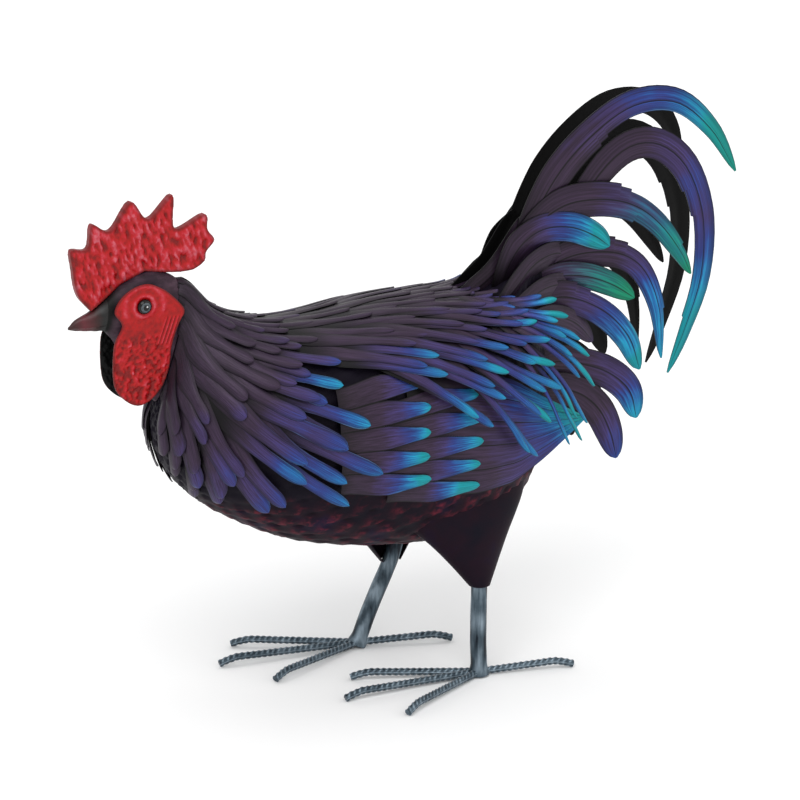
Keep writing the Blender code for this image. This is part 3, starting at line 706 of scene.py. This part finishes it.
def ring_feather(surface, dice, degrees, pitch, drift, root, end, base, lift):
    """A feather's face: it runs along the rings and round them, and lifts off towards its tip."""
    angle = abs(degrees)
    sway = dice.uniform(-SWAY_DEG, SWAY_DEG)
    loose = smooth_step(12, 45, angle) * (1 - smooth_step(120, 145, angle))
    kick = dice.uniform(0.0, KICK) * loose
    tip = 0.33 + 0.37 * smooth_step(112, 145, angle)
    overlap, root_width, clearance = 0.61, 0.3, 0.001

    def place(u, v):
        s = root + (end - root) * v
        round_share = drift + (1 - drift) * v**1.1
        width = pitch * overlap * (root_width + (1 - root_width) * round_share)
        width *= (1 - (1 - tip) * smooth_step(0.2, 0.8, v)) * round_tip(v, 0.9)
        ridge = FEATHER_CROWN * (1 - u * u) * smooth_step(0.1, 0.6, v)
        height = clearance + base * smooth_step(0.0, 0.12, v) + ridge + kick * v**3
        height += lift * GRID * (s - root)
        return surface.point(s, degrees * round_share + sway * v * v + u * width, height)

    return place


# Wings.

def wing_shell(x, z):
    fall = sqrt(max(1 - ((z - WING_CENTRE_Z) / WING_HALF_HEIGHT) ** 2, 0.0))
    return Vector((x, table_at(WING_SHELL, x) * fall, z))


def wing_point(side, x, z, lift):
    """A point of the wing's shell in the frame, lifted off it along its normal."""
    along = wing_shell(x + 1, z) - wing_shell(x - 1, z)
    upwards = wing_shell(x, z + 1) - wing_shell(x, z - 1)
    place = wing_shell(x, z) * GRID + upwards.cross(along).normalized() * lift
    return Vector((place.x, side * place.y, place.z)) + SHIFT


def make_wing(side, paints):
    dice = random.Random(5 + side)
    last_x = WING_LOWER_EDGE[-1][0]
    overlap, room, tilt, crown = 0.25, 0.0003, 0.0013, 0.0006
    leaves = Leaves(WING_SHEET, -side)
    for k in range(FLIGHT_FEATHERS):
        low_share = k / FLIGHT_FEATHERS
        high_share = min((k + 1 + overlap) / FLIGHT_FEATHERS, 1.0)

        def place(u, v):
            x = FLIGHT_FROM_X + (last_x - FLIGHT_FROM_X) * v
            low = table_at(WING_LOWER_EDGE, x)
            high = table_at(WING_UPPER_EDGE, x)
            share = low_share + (high_share - low_share) * (u + 1) / 2
            lift = room + tilt * (1 - u) / 2 + crown * (1 - u * u)
            return wing_point(side, x, low + (high - low) * share, lift)

        stations = [i / 24 for i in range(25)]
        leaves.add(place, stations, 8, 0.96 + 0.05 * k, dice.random(), 0.55, 0.2)
    node = f"flight_feathers_{NAMES[side]}"
    leaves.finish(f"{node}_blades", paints, [node], "blue_feathers")
    for row in COVERT_ROWS:
        make_coverts(side, dice, paints, *row)


def make_coverts(side, dice, paints, name, front_x, tip_x, tips, low_z, high_z, layer):
    leaves = Leaves(WING_SHEET, -side)
    pitch = (high_z - low_z) / tips
    row_z = (high_z + low_z) / 2
    crown, curl = 0.001, 0.0008
    for k in range(tips):
        middle_z = low_z + pitch * (k + 0.5)
        end_x = tip_x - dice.uniform(0, 5)

        def place(u, v):
            gathered = 1 - 0.14 * (1 - smooth_step(0.0, 0.6, v))
            x = front_x + (end_x - front_x) * v
            half = pitch / 2 * 1.01 * (1 - 0.5 * smooth_step(0.45, 0.95, v)) * round_tip(v, 0.88)
            lift = layer * WING_LAYER + crown * (1 - u * u) + curl * v
            return wing_point(side, x, row_z + (middle_z + u * half - row_z) * gathered, lift)

        heat = 1.22 - 0.08 * k + dice.uniform(-0.06, 0.06)
        leaves.add(place, tip_stations(14), 6, heat, dice.random(), 0.15, 0.02)
    full = f"{name}_{NAMES[side]}"
    leaves.finish(f"{full}_blades", paints, [full], "blue_feathers")


# Tail.

def tail_width(t, bluntness):
    """A tail feather's half width at t along it, as a share of its widest."""
    root, widening, tapering, roundness = 0.55, 1.6, 0.985, 0.62
    return min(1.0, root + widening * t) * (1 - tapering * t**bluntness) ** roundness


def tail_leaf(leaves, side, tone, bluntness, half, out, reach, green, spread, line, cuts=()):
    """A long feather that stands on edge along its rib line, with a ridge and step cuts."""
    last = len(line) - 1
    cut_depth, ridge_height = 0.16, 2.2

    def place(u, v):
        x, z = curve_at(line, v * last)
        x0, z0 = curve_at(line, v * last - NEAR)
        x1, z1 = curve_at(line, v * last + NEAR)
        length = hypot(x1 - x0, z1 - z0)
        passed = sum(1 for edge, at in cuts if u * edge > 0 and v > at)
        across = u * half * tail_width(v, bluntness) * (1 - cut_depth * passed)
        x += -(z1 - z0) / length * across
        z += (x1 - x0) / length * across
        ridge = ridge_height * (1 - abs(u)) ** 1.3
        ridge *= smooth_step(0.0, 0.1, v) * (1 - smooth_step(0.85, 1.0, v))
        return in_frame(x, side * (out + spread * (x - TAIL_SPREAD_FROM_X) + ridge), z)

    stations = {i / 40 for i in range(41)}
    for _, at in cuts:
        stations |= {at - 0.001, at + 0.001}
    leaves.add(place, sorted(stations), 8, reach, tone, green, 0.12)


def make_tail_side(side, dice, paints):
    for name, half, out, reach, green, cuts, line in TAIL_FEATHERS:
        leaves = Leaves(FEATHER_SHEET, -side)
        bluntness = 9 if name.startswith("covert") else 4
        if side == RIGHT and name == "sickle_top":
            line = RIGHT_SICKLE_TOP
        shape = half, out, reach, green, TAIL_SPREAD, line, cuts
        tail_leaf(leaves, side, dice.random(), bluntness, *shape)
        full = f"{name}_{NAMES[side]}"
        leaves.finish(f"{full}_vane", paints, [full], "blue_feathers")
    for name, *shape in ROOT_COVERTS:
        leaves = Leaves(FEATHER_SHEET, -side)
        tail_leaf(leaves, side, dice.random(), 8, *shape)
        leaves.finish(f"{name}_{NAMES[side]}", paints, [], "dark_feathers")


# Lofted forms.

def tube(name, value_names, count, sides, vertex, paints, node, slot, second_from=inf):
    """A tube with its two ends capped: vertex(i, k) is point k of ring i, with its paint values.

    From the ring second_from on, its faces have the second paint.
    """
    form = Form(*value_names)
    rings = [[form.vertex(*vertex(i, k)) for k in range(sides)] for i in range(count)]
    for i, (ring, ahead) in enumerate(zip(rings, rings[1:])):
        for k in range(sides):
            m = (k + 1) % sides
            form.face((ring[k], ring[m], ahead[m], ahead[k]), int(i >= second_from))
    for end in (rings[0], rings[-1]):
        form.face(end, 0)
    bmesh.ops.recalc_face_normals(form.mesh, faces=form.mesh.faces)
    form.finish(name, paints, [node], slot)


def scale_relief(p, q):
    """Height from 0 to 1 of a pattern of overlapping round scales at p along and q across."""
    row_length, width = 17.0, 25.0
    long_share, wide_share, root_height, rim, rim_height = 1.45, 0.56, 0.35, 0.06, 0.2
    best = 0.0
    row = int(p / row_length)
    for r in (row - 1, row, row + 1):
        offset = 0.5 * (r % 2)
        column = int(q / width - offset + 0.5)
        centre_q = (column + offset) * width
        along = (p - r * row_length) / (long_share * row_length)
        across = (q - centre_q) / (wide_share * width)
        if along < 0.0:
            continue
        inside = 1 - along * along - across * across
        if inside > rim:
            best = max(best, root_height + (1 - root_height) * along)
        elif inside > 0:
            best = max(best, rim_height)
    return best


def make_body(paint):
    skin = SURFACES["skin"]
    count, sides, step = 126, 144, 0.08
    ring_length, girth_radius = 68, 105
    relief, sunk = 0.0036, 0.6

    def vertex(i, k):
        degrees = k * 360 / sides
        around = radians(min(degrees, 360 - degrees)) * girth_radius
        height = scale_relief(i * step * ring_length, around)
        point = skin.point(i * step, degrees, (height - sunk) * relief)
        return point, (height, smooth_step(0.205, 0.235, point.z))

    tube("body_skin", ("raised", "upper"), count, sides, vertex, [paint], "body", "belly")


def make_head(*paints):
    head = Rings(HEAD)
    count, sides, step, beak_from = 71, 48, 0.1, 38
    dent, mouth_depth, mouth_deg = 0.0007, 0.0009, 68

    def vertex(i, k):
        s, degrees = i * step, k * 360 / sides
        bump = noise.noise(head.on_ring(s, degrees) * 0.12) * dent
        mouth = bulge(abs(degrees - 180) - mouth_deg, 5) * smooth_step(3.6, 4.2, s)
        point = head.point(s, degrees, bump - mouth_depth * mouth)
        return point, (smooth_step(2.6, 3.6, s), smooth_step(3.6, 6.6, s))

    kind = paints, "head", "dark_feathers", beak_from
    tube("head_and_beak", ("along", "tip"), count, sides, vertex, *kind)


def remeshed_outline(outline, thickness, voxel):
    """A plate of that outline in its XY plane, as an even mesh with softened edges."""
    curve = bpy.data.curves.new("outline", "CURVE")
    curve.dimensions = "2D"
    curve.fill_mode = "BOTH"
    curve.extrude = thickness / 2
    line = curve.splines.new("POLY")
    line.points.add(len(outline) - 1)
    for point, (x, y) in zip(line.points, outline):
        point.co = (x, y, 0, 1)
    line.use_cyclic_u = True
    flat = linked("outline", curve)
    mesh = evaluated_mesh(flat)
    form = bmesh.new()
    form.from_mesh(mesh)
    bmesh.ops.remove_doubles(form, verts=form.verts, dist=1e-5)
    solid = linked("outline", mesh_of(form, "outline"))
    even = solid.modifiers.new("even", "REMESH")
    even.mode = "VOXEL"
    even.voxel_size = voxel
    soft = solid.modifiers.new("soft", "SMOOTH")
    soft.factor = 0.5
    soft.iterations = 4
    made = evaluated_mesh(solid)
    for obj in (flat, solid):
        bpy.data.objects.remove(obj)
    return made


def evaluated_mesh(obj):
    bpy.context.view_layer.update()
    graph = bpy.context.evaluated_depsgraph_get()
    return bpy.data.meshes.new_from_object(obj.evaluated_get(graph))


def rounded(points, per_span):
    """A closed Catmull-Rom curve through the points, per_span steps for each."""
    count = len(points)
    wrapped = [points[i % count] for i in range(-1, count + 2)]
    return [
        curve_at(wrapped, 1 + i + k / per_span) for i in range(count) for k in range(per_span)
    ]


def edge_distances(outline, places):
    """Distance of each place from a closed outline."""
    starts = np.array(outline)
    ways = np.roll(starts, -1, axis=0) - starts
    best = np.full(len(places), np.inf)
    for start, way in zip(starts, ways):
        off = places - start
        share = np.clip(off @ way / (way @ way), 0.0, 1.0)
        best = np.minimum(best, np.linalg.norm(off - share[:, None] * way, axis=1))
    return best


def wrinkles(x, y, along_x, along_y):
    """Hammered folds at x, y in mm, as a height from about 0 to 1."""
    folds = noise.noise(Vector((x / along_x, y / along_y, 2.5)))
    small = noise.noise(Vector((x / along_x * 2.1, y / along_y * 2.3, 7.5)))
    return 0.5 + 0.75 * folds + 0.3 * small


def press(mesh, outline, relief, depth, edge_room, outward=0):
    """Gives a plate a relief, all one way or on both faces, and stores its paint values."""
    places, normals = np.empty((2, len(mesh.vertices), 3))
    mesh.vertices.foreach_get("co", places.ravel())
    mesh.vertices.foreach_get("normal", normals.ravel())
    share = np.clip(edge_distances(outline, places[:, :2]) / edge_room, 0.0, 1.0)
    inside = share * share * (3 - 2 * share)
    height = np.array([relief(x / GRID, y / GRID) for x, y in places[:, :2]])
    for key, values in (("raised", height), ("edge", 1 - inside)):
        mesh.attributes.new(key, "FLOAT", "POINT").data.foreach_set("value", values)
    flat = np.abs(normals[:, 2]) > 0.3
    way = outward or np.sign(places[:, 2])
    places[:, 2] += way * (height - 0.5) * depth * inside * flat
    mesh.vertices.foreach_set("co", places.ravel())
    mesh.update()


def make_comb(paint):
    head = Rings(HEAD)
    edge = [*COMB_FRONT]
    for tip, valley in COMB_SPIKES:
        edge += [tip, valley]
    edge += COMB_HEEL
    steps, above_seat, lean = 6, 0.5, 0.25
    curved = [curve_at(edge, i / steps) for i in range(steps * (len(edge) - 1) + 1)]
    seat = [(head.on_ring(s, 0).x, head.on_ring(s, 0).z + above_seat) for s in COMB_SEAT_RINGS]
    outline = [(x * GRID, y * GRID) for x, y in curved + seat]
    mesh = remeshed_outline(outline, COMB_THICKNESS, 0.001)
    press(mesh, outline, lambda x, y: wrinkles(x + lean * y, y, 3.4, 8.0), 0.0034, 0.006)
    mesh.transform(Matrix.Translation(SHIFT) @ Matrix.Rotation(radians(90), 4, "X"))
    add_piece("comb_pressed", mesh, [paint], ["comb"], "red", 80)


def face_relief(x, y):
    """Height of the face plate at x, y in mm from the eye: eye ring, brow, ear lobe and wattle."""
    distance = hypot(x, y)
    ring = bulge(distance - 10.5, 2.4) * 0.5
    hollow = bulge(distance, 7.5) * -0.3
    patch = bulge(distance - 20.5, 3.0) * 0.4 * smooth_step(-16, -4, y)
    rough = wrinkles(x, y, 4.0, 4.0) - 0.5
    wattle = smooth_step(-24, -38, y)
    lobe_x = x - (38 + 0.35 * (y + 20))
    in_lobe = smooth_step(-19, -16, lobe_x) * smooth_step(-43, -39, y) * (1 - smooth_step(-16, -12, y))
    fold_length = 4.2
    lobe = in_lobe * (0.15 + 0.32 * cos(lobe_x / fold_length * 2 * pi))
    plain = 0.3 + rough * (0.25 + 0.6 * wattle) * (1 - in_lobe)
    return plain + ring + hollow + patch + lobe


def make_face(side, paint, underside, eye):
    eye_x, eye_z = FACE_EYE
    outline = [((x - eye_x) * GRID, (z - eye_z) * GRID) for x, z in rounded(FACE_EDGE, 5)]
    mesh = remeshed_outline(outline, FACE_THICKNESS, 0.0008)
    for polygon in mesh.polygons:
        polygon.material_index = 0 if polygon.center.z * -side > -FACE_THICKNESS / 4 else 1
    press(mesh, outline, face_relief, 0.0028, 0.004, -side)
    lean = radians(FACE_INWARD_DEG)
    turn = Matrix.Rotation(radians(90) - side * lean, 4, "X")
    eye_place = in_frame(eye_x, side * FACE_OUT, eye_z)
    mesh.transform(Matrix.Translation(eye_place) @ turn)
    name = NAMES[side]
    add_piece(f"face_{name}_pressed", mesh, [paint, underside], [f"face_{name}"], "red", 80)
    make_eye(name, side, lean, eye_place, eye)


def make_eye(name, side, lean, foot, paint):
    """A glossy bead, turned about the way that the face plate looks."""
    rows, columns, weld = 14, 40, 0.0003
    outward = Vector((0, side * cos(lean), -sin(lean)))
    ahead = Vector((1, 0, 0))
    upward = outward.cross(ahead)
    foot = foot + outward * (FACE_THICKNESS / 2 + weld)
    # Where the painted highlight sits, in mm from the middle of the bead.
    glint_x, glint_y = 1.0, -1.0 * side

    def vertex(i, k):
        slope, angle = pi / 2 * (1 - (i + 1) / rows), 2 * pi * k / columns
        radius, height = EYE_RADIUS * cos(slope), EYE_HEIGHT * sin(slope)
        x, y = radius * cos(angle), radius * sin(angle)
        off = hypot(x / GRID - glint_x, y / GRID - glint_y)
        point = foot + ahead * x + upward * y + outward * height
        return point, (radius / EYE_RADIUS, 1 - smooth_step(0.5, 1.1, off))

    node = f"eye_{name}"
    tube(f"{node}_bead", ("radius", "glint"), rows, columns, vertex, [paint], node, "eye")


# Legs and feet.

def leg_at_height(side, z):
    """x and y of the leg's middle line at that height, on the grid."""
    return [table_at([(row[1], row[n]) for row in LEG_LINES[side]], z) for n in (0, 2)]


def make_thigh(side, paint):
    """A bent sheet round the outside of the leg, open towards the other leg."""
    half_sheet = THIGH_SHEET / 2 / GRID
    cuff = (LEG_RADIUS + THIGH_CUFF_ROOM + THIGH_SHEET / 2) / GRID
    cuff_z = THIGH_CUFF_Z[side]
    leg_x, leg_y = leg_at_height(side, cuff_z)
    rings = [THIGH_HIDDEN_RING, *THIGH_RINGS[side], (cuff_z, leg_x, leg_y, cuff, cuff)]
    steps, segments, dent_depth = 40, 56, 0.8
    wrap = radians(180 - 2 * THIGH_WRAP_FROM_DEG)

    def vertex(i, k):
        z, x, y, half_x, half_y = curve_at(rings, i * (len(rings) - 1) / steps)
        inner = k > segments
        turned = wrap * (2 * segments + 1 - k if inner else k) / segments
        angle = radians(THIGH_WRAP_FROM_DEG) + turned
        dent = noise.noise(Vector((x, z, 30 * angle)) * 0.03) * dent_depth * min(i, 6) / 6
        room = -half_sheet if inner else half_sheet
        x += (half_x + room + dent) * cos(angle)
        y += (half_y + room + dent) * sin(angle)
        return in_frame(x, side * y, z), (0.4, 0.1)

    node = f"thigh_{NAMES[side]}"
    kind = [paint], node, "belly"
    tube(f"{node}_sheet", ("raised", "upper"), steps + 1, 2 * segments + 2, vertex, *kind)


def along_line(points, step):
    """Evenly spaced places on a smooth curve through the points, with the length up to each."""
    dense = [Vector(curve_at(points, i / 60)) for i in range(60 * (len(points) - 1) + 1)]
    total = sum((b - a).length for a, b in zip(dense, dense[1:]))
    count = max(int(total / step), 2)
    found, length, at = [(dense[0], 0.0)], 0.0, 1
    for a, b in zip(dense, dense[1:]):
        piece = (b - a).length
        while at <= count and length + piece >= total * at / count - 1e-9:
            share = (total * at / count - length) / piece
            found.append((a.lerp(b, share), total * at / count))
            at += 1
        length += piece
    return found


def bar(name, places, radius_at, sides, paint, node):
    """A round bar along places, with radius_at(length, angle) giving its radius and relief."""
    last = len(places) - 1
    steep = 0.8

    def vertex(i, k):
        point, length = places[i]
        along = (places[min(i + 1, last)][0] - places[max(i - 1, 0)][0]).normalized()
        across = Vector((0, 0, 1)) if abs(along.z) < steep else Vector((1, 0, 0))
        side_way = along.cross(across).normalized()
        upward = side_way.cross(along)
        angle = 2 * pi * k / sides
        radius, raised = radius_at(length, angle)
        x, y, z = point + (side_way * cos(angle) + upward * sin(angle)) * radius
        return (x, y, max(z, 0.0)), (raised,)

    tube(name, ("raised",), len(places), sides, vertex, [paint], node, "silver")


def leg_radius(length, angle):
    """Tube with dents, a seam that winds round it, and a flare at the foot."""
    winding, seam_depth, dent_depth, flare = 26, 0.0005, 0.0004, 0.0022
    seam = exp(-((sin((angle - length * winding) / 2)) ** 2) / 0.004)
    dents = noise.noise(Vector((cos(angle) * 1.2, sin(angle) * 1.2, length * 40)))
    foot = flare * (1 - smooth_step(0.0, 0.012, length))
    radius = LEG_RADIUS + foot + dents * dent_depth - seam_depth * seam
    return radius, 0.5 + 0.5 * dents - 0.6 * seam


def make_leg(side, paint):
    line = [in_frame(x, side * y, z) for x, z, y in LEG_LINES[side]]
    name = NAMES[side]
    bar(f"leg_{name}_tube", along_line(line, 0.0025), leg_radius, 32, paint, f"leg_{name}")


def toe_line(ankle, degrees, length):
    """Middle line of a toe: it rises slowly from the ankle and bends down to the ground."""
    angle = radians(degrees)
    ahead = Vector((-cos(angle), -sin(angle), 0))
    straight = length * GRID - TOE_BEND_LENGTH
    bend_power = 1.6
    points = []
    for share in ((LEG_RADIUS - TOE_IN_LEG) / straight, 0.5, 0.8, 1.0):
        rise = (TOE_BEND_HEIGHT - ankle.z) * share
        points.append(ankle + ahead * straight * share + Vector((0, 0, rise)))
    for share in (0.33, 0.66, 1.0):
        drop = (TOE_TIP_HEIGHT - TOE_BEND_HEIGHT) * share**bend_power
        points.append(points[3] + ahead * TOE_BEND_LENGTH * share + Vector((0, 0, drop)))
    return points


def rib_radius(length, angle):
    """Ribbed bar: slanted ribs on both halves, and a plain seam between them."""
    pitch, slope, rib_height = 0.0062, 0.55, 0.0007
    half = sin(angle)
    slant = length / pitch + slope * cos(angle) * (1 if half > 0 else -1)
    rib = smooth_step(0.45, 0.95, 0.5 + 0.5 * cos(2 * pi * slant)) * min(abs(half) * 1.8, 1)
    seam = smooth_step(0.965, 0.995, abs(cos(angle)))
    raised = max(rib, seam)
    return TOE_RADIUS - rib_height + rib_height * raised, 0.34 + 0.4 * raised


def make_foot(side, paint):
    leg_x, leg_y = leg_at_height(side, ANKLE_HEIGHT / GRID)
    ankle = in_frame(leg_x, side * leg_y, 0) + Vector((0, 0, ANKLE_HEIGHT))
    for toe, (degrees, length) in TOES.items():
        places = along_line(toe_line(ankle, degrees + FOOT_TURN[side], length), 0.0009)
        node = f"toe_{toe}_{NAMES[side]}"
        bar(f"{node}_bar", places, rib_radius, 24, paint, node)


# The stage.

def make_floor():
    bpy.ops.mesh.primitive_plane_add(size=60)
    floor = bpy.context.object
    floor.name = "floor"
    paint = Paint("floor_white", 0.8, 0.0, 0.1)
    cloud = paint.noise(2.0)
    colour = paint.mix(cloud, (0.9, 0.9, 0.9, 1), (0.92, 0.92, 0.92, 1))
    floor.data.materials.append(paint.finish(colour))


def turn_back(thing, way):
    """Turns a lamp or camera so that it looks against that way."""
    thing.rotation_mode = "QUATERNION"
    thing.rotation_quaternion = (-way).to_track_quat("-Z", "Y")


def make_light(name, way, softness_degrees, strength):
    """A wide soft light that comes from that way."""
    light = bpy.data.lights.new(name, "SUN")
    light.angle = radians(softness_degrees)
    light.energy = strength
    turn_back(linked(name, light), Vector(way))


def make_camera():
    """The camera looks at the left side from a little behind the head, slightly downwards."""
    azimuth, elevation, distance = radians(-28), radians(17), 3.6
    middle = Vector((-0.052, -0.052, 0.305)) + SHIFT
    back = Vector((
        sin(azimuth) * cos(elevation),
        -cos(azimuth) * cos(elevation),
        sin(elevation),
    ))
    data = bpy.data.cameras.new("camera")
    data.lens = 162
    data.sensor_width = 36
    camera = linked("camera", data)
    camera.location = middle + back * distance
    turn_back(camera, back)
    bpy.context.scene.camera = camera


def make_world():
    world = bpy.data.worlds.new("studio")
    world.use_nodes = True
    background = world.node_tree.nodes["Background"]
    background.inputs["Color"].default_value = (1, 1, 1, 1)
    background.inputs["Strength"].default_value = 0.85
    bpy.context.scene.world = world
    bpy.context.scene.view_settings.view_transform = "Standard"


def main():
    make_camera()
    make_floor()
    make_world()
    make_light("key", (-1.4, -2.0, 2.8), 40, 1.2)
    make_light("fill", (1.8, -1.6, 1.5), 60, 0.3)
    make_light("top", (0.2, 0.6, 2.6), 50, 0.4)
    underside = underside_paint()
    soft_feather = [feather_paint("feather_airbrush", 0.0, 5.0, 0.03, 0.45), underside]
    tail_feather = [feather_paint("tail_airbrush", 0.05, 4.0, 0.06, 0.6), underside]
    wing_feather = [feather_paint("wing_airbrush", 0.0, 4.0, 0.1, 0.8), underside]
    plum = belly_paint()
    crimson = red_paint()
    leg_steel = steel_paint("leg_steel", 0.12)
    toe_steel = steel_paint("toe_steel", 1.0)
    bead = eye_paint()
    make_body(plum)
    make_head(head_paint(), beak_paint())
    make_comb(crimson)
    make_feather_rows(soft_feather)
    dice = random.Random(3)
    for side in (LEFT, RIGHT):
        make_face(side, crimson, underside, bead)
        make_wing(side, wing_feather)
        make_tail_side(side, dice, tail_feather)
        make_thigh(side, plum)
        make_leg(side, leg_steel)
        make_foot(side, toe_steel)


main()
